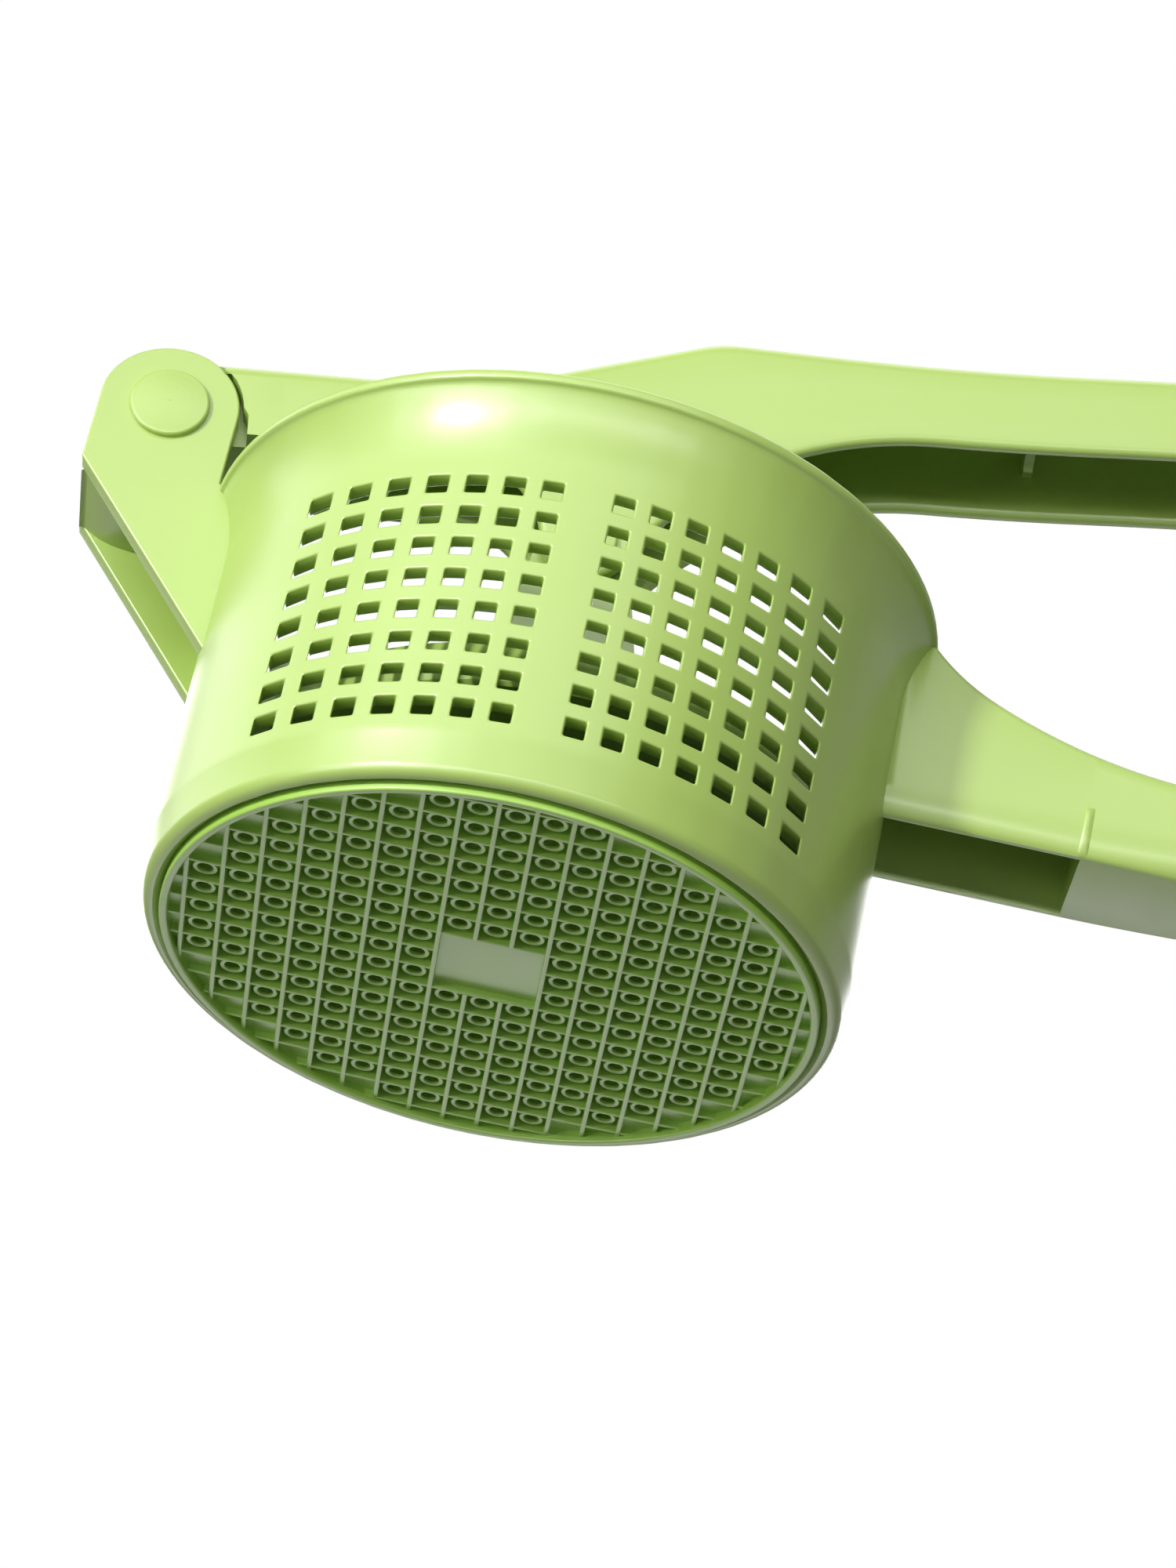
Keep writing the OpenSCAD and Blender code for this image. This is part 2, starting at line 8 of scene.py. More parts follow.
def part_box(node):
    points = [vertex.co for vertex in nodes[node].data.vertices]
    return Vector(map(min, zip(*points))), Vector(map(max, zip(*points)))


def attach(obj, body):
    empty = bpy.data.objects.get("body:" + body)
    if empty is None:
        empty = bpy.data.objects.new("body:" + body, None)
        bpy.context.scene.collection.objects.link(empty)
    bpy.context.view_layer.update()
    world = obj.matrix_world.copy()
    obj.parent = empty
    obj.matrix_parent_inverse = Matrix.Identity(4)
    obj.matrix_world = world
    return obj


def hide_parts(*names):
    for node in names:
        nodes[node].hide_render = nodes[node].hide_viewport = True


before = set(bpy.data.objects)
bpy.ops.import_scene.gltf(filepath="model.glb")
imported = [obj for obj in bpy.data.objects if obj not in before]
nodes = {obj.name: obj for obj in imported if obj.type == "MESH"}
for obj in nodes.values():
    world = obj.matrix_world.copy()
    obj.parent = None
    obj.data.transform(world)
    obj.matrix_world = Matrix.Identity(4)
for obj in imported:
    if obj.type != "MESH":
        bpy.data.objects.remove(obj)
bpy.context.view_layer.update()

scene = bpy.context.scene
MM = 0.001


# ---- helpers for numbers ----

def cosd(degrees):
    return math.cos(math.radians(degrees))


def sind(degrees):
    return math.sin(math.radians(degrees))


def tand(degrees):
    return math.tan(math.radians(degrees))


def arc(cx, cy, r, start, end, steps):
    """Points of an arc round (cx, cy), from start to end in degrees."""
    turns = [start + (end - start) * i / steps for i in range(steps + 1)]
    return [(cx + r * cosd(t), cy + r * sind(t)) for t in turns]


def circle(steps, shift=0.0):
    """Points round a circle of radius 1, the first one shift steps on from the x axis."""
    turns = [2 * math.pi * (i + shift) / steps for i in range(steps)]
    return [(math.cos(t), math.sin(t)) for t in turns]


def rounded_square(half, r, steps=4):
    """Points round a square of that half width with corner radius r, from its lower left corner."""
    points = []
    for sx, sz, start in ((-1, -1, 180), (1, -1, 270), (1, 1, 0), (-1, 1, 90)):
        points += arc(sx * (half - r), sz * (half - r), r, start, start + 90, steps)
    return points


def srgb(r, g, b):
    """A colour written as in a picture, 0 to 255, as the linear colour that Blender wants."""
    def linear(c):
        c /= 255
        return c / 12.92 if c <= 0.04045 else ((c + 0.055) / 1.055) ** 2.4
    return (linear(r), linear(g), linear(b), 1)


# ---- plastics ----

SPECULAR, COAT_ROUGH = 0.95, 0.28
GRAIN, GRAIN_DEPTH = 0.12, 0.00012
FLOW_SHARE = 0.35
DARK_TINT, PALE_TINT = (0.93, 0.955, 0.9), (1.04, 1.02, 1.08)


def add_node(tree, kind, values=None, operation=None):
    """A node with its inputs set by name or number."""
    node = tree.nodes.new(kind)
    if operation:
        node.operation = operation
    for key, value in (values or {}).items():
        node.inputs[key].default_value = value
    return node


def moulded(name, base, rough=0.46, coat=0.6):
    """Satin injection-moulded plastic: soft clouds of colour, a fine skin and uneven gloss."""
    mat = bpy.data.materials.new(name)
    mat.use_nodes = True
    tree = mat.node_tree
    link = tree.links.new
    tree.nodes.clear()
    out = add_node(tree, "ShaderNodeOutputMaterial")
    bsdf = add_node(tree, "ShaderNodeBsdfPrincipled", {
        "Roughness": rough, "Specular IOR Level": SPECULAR,
        "Coat Weight": coat, "Coat Roughness": COAT_ROUGH})
    link(bsdf.outputs["BSDF"], out.inputs["Surface"])

    where = add_node(tree, "ShaderNodeTexCoord")
    cloud = add_node(tree, "ShaderNodeTexNoise", {"Scale": 16, "Detail": 4, "Roughness": 0.55})
    flow = add_node(tree, "ShaderNodeTexNoise", {"Scale": 90, "Detail": 3, "Roughness": 0.6})
    skin = add_node(tree, "ShaderNodeTexNoise", {"Scale": 1400, "Detail": 4, "Roughness": 0.6})
    for noise in (cloud, flow, skin):
        link(where.outputs["Object"], noise.inputs["Vector"])

    # colour: clouds with some flow marks in them, between a darker and a paler tint
    tint = add_node(tree, "ShaderNodeValToRGB")
    dark, pale = tint.color_ramp.elements
    dark.position, pale.position = 0.3, 0.72
    dark.color = [c * k for c, k in zip(base[:3], DARK_TINT)] + [1]
    pale.color = [min(1, c * k) for c, k in zip(base[:3], PALE_TINT)] + [1]
    both = add_node(tree, "ShaderNodeMath", {1: FLOW_SHARE}, "MULTIPLY_ADD")
    clouds = add_node(tree, "ShaderNodeMath", {1: 1 - FLOW_SHARE}, "MULTIPLY")
    link(flow.outputs["Fac"], both.inputs[0])
    link(cloud.outputs["Fac"], clouds.inputs[0])
    link(clouds.outputs[0], both.inputs[2])
    link(both.outputs[0], tint.inputs["Fac"])
    link(tint.outputs["Color"], bsdf.inputs["Base Color"])

    gloss = add_node(tree, "ShaderNodeMapRange", {
        "From Min": 0.3, "From Max": 0.7, "To Min": rough - 0.03, "To Max": rough + 0.05})
    link(flow.outputs["Fac"], gloss.inputs["Value"])
    link(gloss.outputs["Result"], bsdf.inputs["Roughness"])
    bump = add_node(tree, "ShaderNodeBump", {"Strength": GRAIN, "Distance": GRAIN_DEPTH})
    link(skin.outputs["Fac"], bump.inputs["Height"])
    link(bump.outputs["Normal"], bsdf.inputs["Normal"])
    return mat


LEAF = moulded("leaf_plastic", srgb(151, 179, 77))
SIEVE = moulded("sieve_plastic", srgb(154, 196, 74), coat=0.5)
PRESS = moulded("press_plastic", srgb(151, 179, 79), rough=0.44)
PIN = moulded("pin_plastic", srgb(153, 181, 78), rough=0.42)
NODE_PLASTICS = {"press_plate": PRESS, "hinge_pin": PIN, "hinge_cap": PIN, "plate_pin": PIN,
                 "plate_cap": PIN, "basket": LEAF, "lever": LEAF, "sieve_disc": SIEVE}
for name, plastic in NODE_PLASTICS.items():
    nodes[name].data.materials.clear()
    nodes[name].data.materials.append(plastic)


# ---- the drawing: millimetres, with the cup's axis at x = 0 ----

CUP_X = sum(corner[0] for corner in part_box("sieve_disc")) / 2 / MM
pin_low, pin_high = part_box("hinge_pin")
HINGE_X = (pin_low[0] + pin_high[0]) / 2 / MM - CUP_X
HINGE_Z = (pin_low[2] + pin_high[2]) / 2 / MM
LEVER_REST = 9


def drawn(p):
    return Vector((CUP_X + p[0], p[1], p[2])) * MM


def levered(p):
    """From the lever's own frame, where the hinge pin is the origin and the arm runs along +x."""
    c, s = cosd(LEVER_REST), sind(LEVER_REST)
    return drawn((HINGE_X + p[0] * c - p[2] * s, p[1], HINGE_Z + p[0] * s + p[2] * c))


def sideways(u, v, w):
    """Places an outline that is drawn from the side, with its thickness along y."""
    return (u, w, v)


def endways(u, v, w):
    """Places an outline that is drawn from the end, with its thickness along x."""
    return (w, u, v)


def flat(u, v, w):
    """Places an outline that is drawn from above, with its thickness along z."""
    return (u, v, w)


class Shape:
    """Points and faces of one piece. Points that coincide are welded later."""

    def __init__(self):
        self.points, self.faces = [], []

    def row(self, points):
        start = len(self.points)
        self.points += [tuple(p) for p in points]
        return list(range(start, len(self.points)))

    def face(self, *ids):
        self.faces.append(ids)

    def between(self, a, b, closed=False):
        """Faces between two rows of as many points."""
        n = len(a)
        for i in range(n if closed else n - 1):
            j = (i + 1) % n
            self.face(a[i], a[j], b[j], b[i])

    def skin(self, rows, closed=False, round_way=False):
        """Faces over rows of points. closed joins each row's ends, round_way the last row to the first."""
        rows = [self.row(r) for r in rows]
        for a, b in zip(rows, rows[1:] + (rows[:1] if round_way else [])):
            self.between(a, b, closed)
        return rows

    def capped_skin(self, rows, closed=False):
        ends = self.skin(rows, closed)
        self.face(*ends[0])
        self.face(*ends[-1])

    def prism(self, outline, low, high, place):
        """outline is a list of (u, v); place(u, v, w) gives the point."""
        a = self.row([place(u, v, low) for u, v in outline])
        b = self.row([place(u, v, high) for u, v in outline])
        self.between(a, b, True)
        self.face(*reversed(a))
        self.face(*b)

    def around(self, hole, corners):
        """Faces between a hole's edge and four corners, where both start at the same corner."""
        quarter = len(hole) // 4
        for k, corner in enumerate(corners):
            part = hole[k * quarter:(k + 1) * quarter]
            for p, q in zip(part, part[1:]):
                self.face(corner, p, q)
            self.face(corner, part[-1], hole[(k + 1) * quarter % len(hole)], corners[(k + 1) % 4])


def piece(name, shape, body, node, mat, place=drawn, bevel=0.0, steps=2, sharp=35):
    """The shape as an object that rides on a body and stands in for a CAD node."""
    bm = bmesh.new()
    verts = [bm.verts.new(place(p)) for p in shape.points]
    for ids in shape.faces:
        bm.faces.new([verts[i] for i in ids])
    bmesh.ops.remove_doubles(bm, verts=bm.verts, dist=3e-6)
    bmesh.ops.dissolve_degenerate(bm, edges=bm.edges, dist=2e-6)
    bmesh.ops.recalc_face_normals(bm, faces=bm.faces)
    if bevel:
        edges = [e for e in bm.edges if len(e.link_faces) == 2
                 and e.calc_face_angle(0) > math.radians(sharp)]
        bmesh.ops.bevel(bm, geom=edges, offset=bevel * MM, segments=steps, profile=0.5,
                        affect="EDGES", clamp_overlap=True)
    mesh = bpy.data.meshes.new(name)
    bm.to_mesh(mesh)
    bm.free()
    mesh.materials.append(mat)
    mesh.shade_smooth()
    mesh.set_sharp_from_angle(angle=math.radians(sharp))
    obj = bpy.data.objects.new(name, mesh)
    scene.collection.objects.link(obj)
    if bevel:
        weigh = obj.modifiers.new("normals", "WEIGHTED_NORMAL")
        weigh.keep_sharp = True
        weigh.weight = 100
    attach(obj, body)
    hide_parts(node)


def basket_piece(name, shape, **looks):
    piece(name, shape, "basket_body", "basket", LEAF, **looks)


def lever_piece(name, shape, **looks):
    piece(name, shape, "lever_body", "lever", LEAF, levered, **looks)


def sieve_piece(name, shape, **looks):
    piece(name, shape, "basket_body", "sieve_disc", SIEVE, **looks)


# ---- cup ----

CUP_R, BORE_R, CUP_WALL = 49.0, 46.4, 2.6
WALL_LOW, WALL_TOP, DRAFT = 7.5, 50.9, 0.3
FLARE_R, FLARE_X = 23.757, 73.057
FLARE_MID_R = 25.06
HOLE_PITCH, FIRST_ROW, FIRST_COLUMN = 5.1, 11.1, 4.85
HOLE_ROWS = [FIRST_ROW + HOLE_PITCH * i for i in range(8)]
HOLE_COLUMNS = [side * (FIRST_COLUMN + HOLE_PITCH * i) for side in (-1, 1) for i in range(7)]
HOLE_HALF, HOLE_EDGE, HOLE_CELL = 1.4, 0.24, 1.72
END_STEPS = 26


def wall_r(z, inside):
    """The wall's radius at a height. It leans out a little between WALL_LOW and WALL_TOP."""
    share = max(0.0, min(1.0, (z - WALL_LOW) / (WALL_TOP - WALL_LOW)))
    return (BORE_R if inside else CUP_R) + DRAFT * share


def cup_section(levels):
    """The wall's section: up the outside, over the rim and down the bore, as (r, z, inside)."""
    outer = arc(46.75, 2.6, 1.7, -90, 0, 9) + [(48.8, 6.3), (48.93, 7.1), (49.0, 7.7), (49.0, 8.3)]
    outer += [(wall_r(z, False), z) for z in levels]
    outer += arc(FLARE_X, WALL_TOP, FLARE_R, 180, 180 - 26.6, 16)
    outer += [(52.02, 61.78), (52.16, 61.9), (52.34, 61.98), (52.5, 62.09), (52.61, 62.22),
              (52.68, 62.4), (52.7, 62.6)]
    outer += arc(51.75, 62.85, 0.95, 0, 90, 7)
    inner = [(50.5, 63.8), (50.25, 63.72), (50.08, 63.5)]
    inner += arc(FLARE_X, WALL_TOP, FLARE_R + CUP_WALL, 180 - 28, 180, 14)
    inner += [(wall_r(z, True), z) for z in reversed(levels)]
    inner += [(BORE_R, 3.2), (45.7, 3.2), (45.7, 2.0), (45.85, 1.7), (46.25, 1.3)]
    return [(r, z, False) for r, z in outer] + [(r, z, True) for r, z in inner]


def cup_lines():
    """Lines up the wall: ("x", x, side) at one x on the far or near side, ("turn", degrees, 0) at
    one angle round the two ends, where there are no holes."""
    cells = [x + cell for x in HOLE_COLUMNS for cell in (-HOLE_CELL, HOLE_CELL)]
    xs = sorted(cells + [-1.6, 0.0, 1.6])
    edge = math.degrees(math.acos(xs[-1] / CUP_R))
    turns = [edge * (2 * i / END_STEPS - 1) for i in range(1, END_STEPS)]
    lines = [("x", x, 1) for x in reversed(xs)] + [("turn", 180 + t, 0) for t in turns]
    return lines + [("x", x, -1) for x in xs] + [("turn", t, 0) for t in turns]


def on_line(line, r, z, inside):
    kind, at, side = line
    if kind == "turn":
        return (r * cosd(at), r * sind(at), z)
    foot = BORE_R if inside else CUP_R
    turn = math.acos(at / (foot + max(0.0, min(DRAFT, r - foot))))
    return (r * math.cos(turn), side * r * math.sin(turn), z)


def wall_hole(s, xc, zc, side):
    """A square hole with soft corners and edges, and the wall round it out to its cell."""
    def row(outline, inside, sunk=0.0):
        points = []
        for u, v in outline:
            x, z = xc + u, zc + v
            r = wall_r(z, inside) + (sunk if inside else -sunk)
            points.append((x, side * math.sqrt(r * r - x * x), z))
        return s.row(points)

    corners = [(u * HOLE_CELL, v * HOLE_CELL) for u, v in ((-1, -1), (1, -1), (1, 1), (-1, 1))]
    throats = []
    for inside in (False, True):
        mouth = row(rounded_square(HOLE_HALF + HOLE_EDGE, 0.42), inside)
        s.around(mouth, row(corners, inside))
        middle = row(rounded_square(HOLE_HALF + 0.09, 0.36), inside, 0.09)
        throat = row(rounded_square(HOLE_HALF, 0.3), inside, HOLE_EDGE)
        s.between(mouth, middle, True)
        s.between(middle, throat, True)
        throats.append(throat)
    s.between(*throats, True)


def cup_wall():
    s = Shape()
    levels = sorted(z + cell for z in HOLE_ROWS for cell in (-HOLE_CELL, HOLE_CELL))
    section, lines = cup_section(levels), cup_lines()
    rings = [s.row([on_line(line, *point) for line in lines]) for point in section]

    # the wall is left open where a row and a column of holes cross
    first_outside = next(k for k, (r, z, inside) in enumerate(section) if z == levels[0])
    first_inside = next(k for k, (r, z, inside) in enumerate(section) if inside and z == levels[-1])
    hole_rings = {k + 2 * i for k in (first_outside, first_inside) for i in range(len(HOLE_ROWS))}
    hole_lines = {}
    for i, (line, after) in enumerate(zip(lines, lines[1:])):
        apart = abs(line[1] - after[1])
        if line[0] == after[0] == "x" and line[2] == after[2] and abs(apart - 2 * HOLE_CELL) < 1e-6:
            hole_lines[i] = ((line[1] + after[1]) / 2, line[2])
    for k, ring in enumerate(rings):
        above = rings[(k + 1) % len(rings)]
        for i in range(len(lines)):
            j = (i + 1) % len(lines)
            if k not in hole_rings or i not in hole_lines:
                s.face(ring[i], ring[j], above[j], above[i])
    for x, side in hole_lines.values():
        for z in HOLE_ROWS:
            wall_hole(s, x, z, side)
    basket_piece("cup_wall", s)


# ---- ears and the web between them ----

EAR_R, EAR_IN, EAR_OUT = 10.0, 6.8, 9.8
EAR_FRONT_Z, EAR_BACK_Z, EAR_ROOT_X, EAR_SLOPE = 63.2, 63.4, -47.2, 49.3
WEB_X, WEB_LOW, WEB_TOP, WEB_R = -64.0, 59.9, 62.6, 10.95
WEB_SINK = 0.4


def ears():
    """Two plates that carry the hinge pin and grow out of the cup's flare."""
    front, back = HINGE_X - EAR_R, HINGE_X + EAR_R
    outline = [(back, EAR_BACK_Z), (back, HINGE_Z)]
    outline += arc(HINGE_X, HINGE_Z, EAR_R, 0, 180, 40)[1:]
    root_z = EAR_FRONT_Z - (EAR_ROOT_X - front) * tand(EAR_SLOPE)
    outline += [(front, EAR_FRONT_Z), (EAR_ROOT_X, root_z), (EAR_ROOT_X, WALL_TOP)]
    outline += [(-x, z) for x, z in arc(FLARE_X, WALL_TOP, FLARE_MID_R, 180, 151, 8)][1:]
    for name, side in (("ear_far", 1), ("ear_near", -1)):
        s = Shape()
        s.prism(outline, side * EAR_IN, side * EAR_OUT, sideways)
        basket_piece(name, s, bevel=0.38, steps=3)


def ear_web():
    s = Shape()
    outline = [(-50.6, WEB_LOW)]
    outline += arc(WEB_X, WEB_LOW + WEB_R, WEB_R, 270, 270 - 41.2, 12)
    outline += [(-71.55, 62.3), (-71.3, WEB_TOP), (-50.8, WEB_TOP)]
    s.prism(outline, -EAR_IN - WEB_SINK, EAR_IN + WEB_SINK, sideways)
    basket_piece("ear_web", s, sharp=30)


# ---- lower handle ----

ARM, ARM_WALL = 9.8, 2.3
LIP = ARM_WALL / 2
GRIP_LOW, GRIP_TOP, GRIP_END = 33.8, 48.4, 202.0
POCKET_END = 76.5
POCKET_ROOF, POCKET_ROUND = 2.4, 0.6
ROOT_X, ROOT_SPREAD, ROOT_RUN = 48.0, 0.8, 1.3
BURIED_X = 52.0
BEND_RAISE, BEND_DROP, BEND_RUN = -0.05, 1.71, 28.0
GRIP_ROUND = 6.4
POCKET_LEAN, LEAN_RUN = 1.9, 60.0
LEVEL_X, LONG_X, LONG_R = 93.0, 61.3, 75.0
TIGHT_CENTRE, TIGHT_R = (73.98, 82.62), 30.0
GRIP_BEND_Z, GRIP_LIP = 44.5, -2.6
# closer together where the handle grows out of the cup's wall
POCKET_STATIONS = (47.2, 47.9, 48.1, 48.4, 48.8, 49.3, 49.9, 50.5, 51.0, 51.4, 52, 52.7, 53.5, 54.5,
                   55.5, 57, 58.5, 60, 62, 64, 66, 68.5, 71, 73.5, 75.5, POCKET_END)
BEAD = ((-0.75, -0.3), (-0.6, 0.02), (-0.38, 0.2), (0, 0.3), (0.4, 0.2), (0.8, 0.02), (0.95, -0.3))
BEAD_TOP = 41.6
GRIP_RIB, GRIP_RIB_PITCH, GRIP_RIB_H = 1.6, 30, 10.6


def grip_top(x):
    """Height of the lower handle's top line: a tight curve off the rim, then a long one."""
    if x > LEVEL_X:
        return GRIP_TOP
    if x > LONG_X:
        return GRIP_TOP + LONG_R - math.sqrt(LONG_R ** 2 - (LEVEL_X - x) ** 2)
    return TIGHT_CENTRE[1] - math.sqrt(TIGHT_R ** 2 - (TIGHT_CENTRE[0] - x) ** 2)


def wall_mid(x):
    """Height up to which a point at x lies inside the cup's wall where the handle meets it."""
    if x < ROOT_X:
        return WALL_TOP
    return WALL_TOP + math.sqrt(max(0.0, FLARE_MID_R ** 2 - (FLARE_X - x) ** 2))


def pocket_section(x):
    """Half of the hood's section: out along the top, down the outside and up the inside."""
    top = min(grip_top(x), wall_mid(x)) if x < BURIED_X else grip_top(x)
    wide = ARM + ROOT_SPREAD * max(0.0, 1 - max(0.0, x - ROOT_X) / ROOT_RUN) ** 2
    bend_z = GRIP_LOW + BEND_RAISE + GRIP_ROUND - BEND_DROP * (POCKET_END - x) / BEND_RUN
    inner = ARM - ARM_WALL
    roof_z = top - POCKET_ROOF - POCKET_ROUND
    section = [(0, top)] + arc(wide - LIP, top - LIP, LIP, 90, 0, 5) + [(wide, bend_z)]
    section += [(ARM - POCKET_LEAN + y * POCKET_LEAN, bend_z + z * (bend_z - GRIP_LOW))
                for y, z in arc(0, 0, 1, -10, -80, 7)]
    section += [(inner + 0.12, GRIP_LOW + 0.06), (inner, GRIP_LOW + 0.3), (inner, roof_z)]
    section += arc(inner - POCKET_ROUND, roof_z, POCKET_ROUND, 0, 90, 3)[1:]
    return section + [(0, top - POCKET_ROOF)]


def grip_pocket():
    """The part beside the cup, a hood open below, in two halves."""
    s = Shape()
    for side in (1, -1):
        s.capped_skin([[(x, side * y, z) for y, z in pocket_section(x)] for x in POCKET_STATIONS])
    basket_piece("grip_pocket", s)


def grip_plan(steps=60, turns=28):
    """Stations round the grip's plan: near side out, round the end, far side back.
    Each is (x, y, nx, ny), with n pointing outwards."""
    end = GRIP_END - ARM
    xs = [POCKET_END + (end - POCKET_END) * i / steps for i in range(steps + 1)]
    plan = [(x, -ARM, 0, -1) for x in xs]
    for i in range(1, turns):
        a = -90 + 180 * i / turns
        plan.append((end + ARM * cosd(a), ARM * sind(a), cosd(a), sind(a)))
    return plan + [(x, ARM, 0, 1) for x in reversed(xs)]


def channel_section():
    """The trough's section, from the middle of its floor up the inside, over the lip and down the
    outside: (depth, kind, z). Depth runs inwards from the plan's edge and z counts from 0, but
    from the top line for kind "top". A "lean" depth is a share of the lower edge's width."""
    r = GRIP_ROUND - ARM_WALL
    section = [(ARM, "z", GRIP_LOW + ARM_WALL)]
    section += [(d, "z", z) for d, z in arc(GRIP_ROUND, GRIP_LOW + GRIP_ROUND, r, 270, 180, 6)]
    section += [(ARM_WALL, "z", GRIP_BEND_Z), (ARM_WALL, "top", GRIP_LIP), (ARM_WALL, "top", -LIP)]
    section += [(d, "top", z) for d, z in arc(LIP, -LIP, LIP, 30, 180, 5)]
    section += [(0, "top", GRIP_LIP), (0, "z", GRIP_BEND_Z)]
    section += [(d, "lean", GRIP_LOW + GRIP_ROUND + GRIP_ROUND * z)
                for d, z in arc(1, 0, 1, 180, 270, 10)]
    return section + [(ARM, "z", GRIP_LOW)]


def lean_width(x):
    """Width of the rounded lower edge, narrow at the pocket and as wide as high further out."""
    t = max(0.0, min(1.0, (x - POCKET_END) / LEAN_RUN))
    return POCKET_LEAN + (GRIP_ROUND - POCKET_LEAN) * t * t * (3 - 2 * t)


def grip_channel():
    """The grip behind the pocket, a trough open above."""
    s = Shape()
    section = channel_section()
    rows = []
    for x, y, nx, ny in grip_plan():
        row = []
        for depth, kind, z in section:
            if kind == "lean":
                depth *= lean_width(x)
            px, py = x - nx * depth, y - ny * depth
            if kind == "top":
                z += grip_top(px)
            row.append((px, py, z))
        rows.append(row)
    s.capped_skin(rows)
    basket_piece("grip_channel", s)


def trough_filling(top, inset=0.25):
    """The outline of the trough's hollow from the end, sunk into its wall by inset."""
    half, r = ARM - ARM_WALL + inset, GRIP_ROUND - ARM_WALL + inset
    right = [(half, top)] + arc(half - r, GRIP_LOW + ARM_WALL - inset + r, r, 0, -90, 6)
    return right + [(-y, z) for y, z in reversed(right)]


def grip_end_wall():
    """The wall between pocket and channel."""
    s = Shape()
    s.prism(trough_filling(grip_top(POCKET_END) - 0.5), POCKET_END + 0.02, POCKET_END + ARM_WALL,
            endways)
    basket_piece("grip_end_wall", s, bevel=0.2)


def grip_bead():
    """A low raised line down each side where the pocket ends."""
    s = Shape()
    for side in (1, -1):
        rows = []
        for dx, out in BEAD:
            row = [(ARM - 0.3, BEAD_TOP), (ARM + min(out, 0.3 * abs(out)), BEAD_TOP - 0.4),
                   (ARM + out, BEAD_TOP - 1.2)]
            row += [(ARM - POCKET_LEAN + y * (POCKET_LEAN + out),
                     GRIP_LOW + GRIP_ROUND + z * (GRIP_ROUND - 0.02))
                    for y, z in arc(0, 0, 1, -5, -82, 8)]
            rows.append([(POCKET_END + dx, side * y, z) for y, z in row])
        rows = s.skin(rows, round_way=True)
        s.face(*[row[0] for row in rows])
        s.face(*[row[-1] for row in rows])
    basket_piece("grip_bead", s)


def grip_ribs():
    s = Shape()
    for k in (1, 2, 3):
        x = POCKET_END + GRIP_RIB_PITCH * k
        s.prism(trough_filling(GRIP_LOW + GRIP_RIB_H), x, x + GRIP_RIB, endways)
    basket_piece("grip_ribs", s, bevel=0.25)


# ---- lever, in its own frame ----

ARM_TOP, ARM_LOW = 8.6, -4.0
SHOULDER_END = 16.0
BEND_R = 16.0
RAMP_START, RAMP = 44.0, 18.5
CREST, DIP, LIFT = (78.97, 20.3), 2.0, 3.0
SADDLE, SADDLE_R = (110.67, 469.47), 450.0
PALM, PALM_R = (181.35, -878.68), 900.0
LEVER_END, LEVER_H = 264.81, 14.3
TIP_TOP_R, TIP_LOW_R = 7.0, 3.0
LUG, LUG_R = (60.0, -17.0), 6.5
SCOOP_R = 13.0
SWEEP, SWEEP_R = (111.45, -48.83), 54.0
LEVER_EDGE, LEVER_ROOF, ROOF_ROUND = 2.4, 2.4, 0.8
STATION_STEP = 4
TONGUE_R, TONGUE_HALF, TONGUE_END = 9.0, 6.45, 13.0
LEVER_RIBS, LEVER_RIB, RIB_HALF = (126, 160, 194, 228), 1.6, 7.7
RIB_SHOULDER, RIB_SPRING, RIB_ARCH_R, RIB_ARCH_SHARE, RIB_TOP_DROP = 7.2, 6.6, 6.2, 0.35, 1.4


def lever_top(x):
    """Height of the lever's top line: arm, bend, ramp, crest, saddle, palm rest, round tip."""
    cos_ramp, sin_ramp = cosd(RAMP), sind(RAMP)
    bend = BEND_R * tand(RAMP / 2)
    turn = BEND_R * tand((RAMP + DIP) / 2)
    crest_x = CREST[0] - turn * cos_ramp + BEND_R * sin_ramp
    crest_z = CREST[1] - turn * sin_ramp - BEND_R * cos_ramp
    tip = LEVER_END - TIP_TOP_R
    if x < RAMP_START - bend:
        return ARM_TOP
    if x < RAMP_START + bend * cos_ramp:
        return ARM_TOP + BEND_R - math.sqrt(BEND_R ** 2 - (x - RAMP_START + bend) ** 2)
    if x < CREST[0] - turn * cos_ramp:
        return ARM_TOP + (x - RAMP_START) * sin_ramp / cos_ramp
    if x < crest_x + BEND_R * sind(DIP):
        return crest_z + math.sqrt(BEND_R ** 2 - (x - crest_x) ** 2)
    if x < SADDLE[0] - SADDLE_R * sind(DIP):
        return CREST[1] - (x - CREST[0]) * tand(DIP)
    if x < SADDLE[0] + SADDLE_R * sind(LIFT):
        return SADDLE[1] - math.sqrt(SADDLE_R ** 2 - (x - SADDLE[0]) ** 2)
    top = PALM[1] + math.sqrt(PALM_R ** 2 - (min(x, tip) - PALM[0]) ** 2)
    if x > tip:
        past = min(x, LEVER_END) - tip
        top += math.sqrt(max(0.0, TIP_TOP_R ** 2 - past ** 2)) - TIP_TOP_R
    return top


def lever_low(x):
    """Height of the lever's lower edge along the saddle, the palm rest and the round tip."""
    saddle_r, palm_r = SADDLE_R + LEVER_H, PALM_R - LEVER_H
    if x < SADDLE[0] + saddle_r * sind(LIFT):
        return SADDLE[1] - math.sqrt(saddle_r ** 2 - (x - SADDLE[0]) ** 2)
    tip = LEVER_END - TIP_LOW_R
    low = PALM[1] + math.sqrt(palm_r ** 2 - (min(x, tip) - PALM[0]) ** 2)
    if x > tip:
        past = min(x, LEVER_END) - tip
        low += TIP_LOW_R - math.sqrt(max(0.0, TIP_LOW_R ** 2 - past ** 2))
    return low


